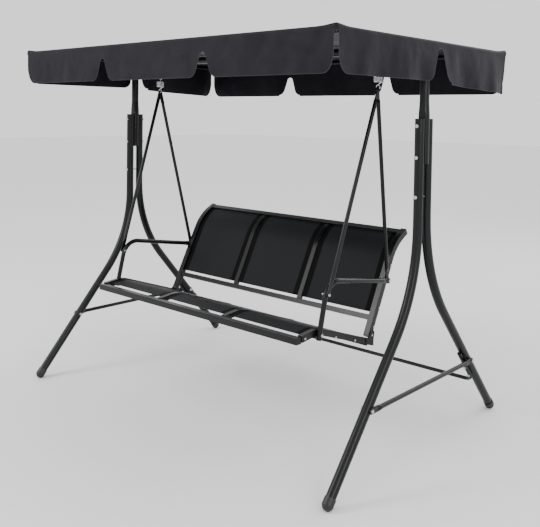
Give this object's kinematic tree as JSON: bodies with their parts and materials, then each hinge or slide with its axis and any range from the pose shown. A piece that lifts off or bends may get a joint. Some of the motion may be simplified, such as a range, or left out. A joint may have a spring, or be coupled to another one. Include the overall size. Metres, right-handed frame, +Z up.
{
  "type": "porch swing",
  "caption": "Freestanding garden swing: two A-shaped tube frames, a top beam with a fabric canopy, and a sling-mesh bench with armrests hung from springs.",
  "frame": {"origin": "On the floor, at the middle of the whole outline seen from above.", "axes": "+Z is up, +X is to the right of a person facing the bench's front from outside, -Y is the side the bench faces (the front)."},
  "size_m": [1.791, 1.2102, 1.5305],
  "materials": {
    "frame_paint": "satin charcoal powder coat on steel tube",
    "canopy_cloth": "woven polyester, black, slight sheen",
    "sling_mesh": "coated open-weave sling mesh, black",
    "black_plastic": "moulded black plastic",
    "zinc_steel": "zinc-plated steel fasteners",
    "spring_chrome": "bright plated spring wire"
  },
  "bodies": {
    "stand": {"leg_front_left": "frame_paint", "leg_front_right": "frame_paint", "leg_rear_left": "frame_paint", "leg_rear_right": "frame_paint", "foot_caps": "black_plastic", "post_left": "frame_paint", "post_right": "frame_paint", "top_beam": "frame_paint", "brace_left": "frame_paint", "brace_right": "frame_paint", "rear_stretcher": "frame_paint", "canopy_bar_front": "frame_paint", "canopy_bar_rear": "frame_paint", "canopy_bar_left": "frame_paint", "canopy_bar_right": "frame_paint", "canopy_corners": "black_plastic", "canopy_fabric": "canopy_cloth", "leg_bolts": "zinc_steel", "brace_bolts": "zinc_steel", "stretcher_bolts": "zinc_steel", "canopy_bolts": "zinc_steel", "eye_bolts": "zinc_steel"},
    "suspension": {"spring_left": "spring_chrome", "spring_right": "spring_chrome"},
    "bench": {"hanger_front_left": "frame_paint", "hanger_front_right": "frame_paint", "hanger_rear_left": "frame_paint", "hanger_rear_right": "frame_paint", "armrest_left": "frame_paint", "armrest_right": "frame_paint", "seat_rail_left": "frame_paint", "seat_rail_right": "frame_paint", "seat_bar_front": "frame_paint", "seat_bar_rear": "frame_paint", "seat_rib_left": "frame_paint", "seat_rib_right": "frame_paint", "seat_mesh_left": "sling_mesh", "seat_mesh_middle": "sling_mesh", "seat_mesh_right": "sling_mesh", "back_rail_left": "frame_paint", "back_rail_right": "frame_paint", "back_bar_top": "frame_paint", "back_bar_bottom": "frame_paint", "back_rib_left": "frame_paint", "back_rib_right": "frame_paint", "back_mesh_left": "sling_mesh", "back_mesh_middle": "sling_mesh", "back_mesh_right": "sling_mesh", "rail_plugs": "black_plastic", "seat_rail_bolts": "zinc_steel", "back_rail_bolts": "zinc_steel", "hanger_bolts": "zinc_steel"}
  },
  "joints": [
    {"name": "swing", "type": "hinge", "parent": "stand", "child": "suspension", "pos_m": [0, -0.0117, 1.4397], "axis": [1, 0, 0], "range_deg": [-20, 20]},
    {"name": "bounce", "type": "slide", "parent": "suspension", "child": "bench", "axis": [0, 0, 1], "range_m": [-0.02, 0], "stiffness_N_per_m": 40000, "springref_m": 0.007, "deforming": ["spring_left", "spring_right"]}
  ]
}
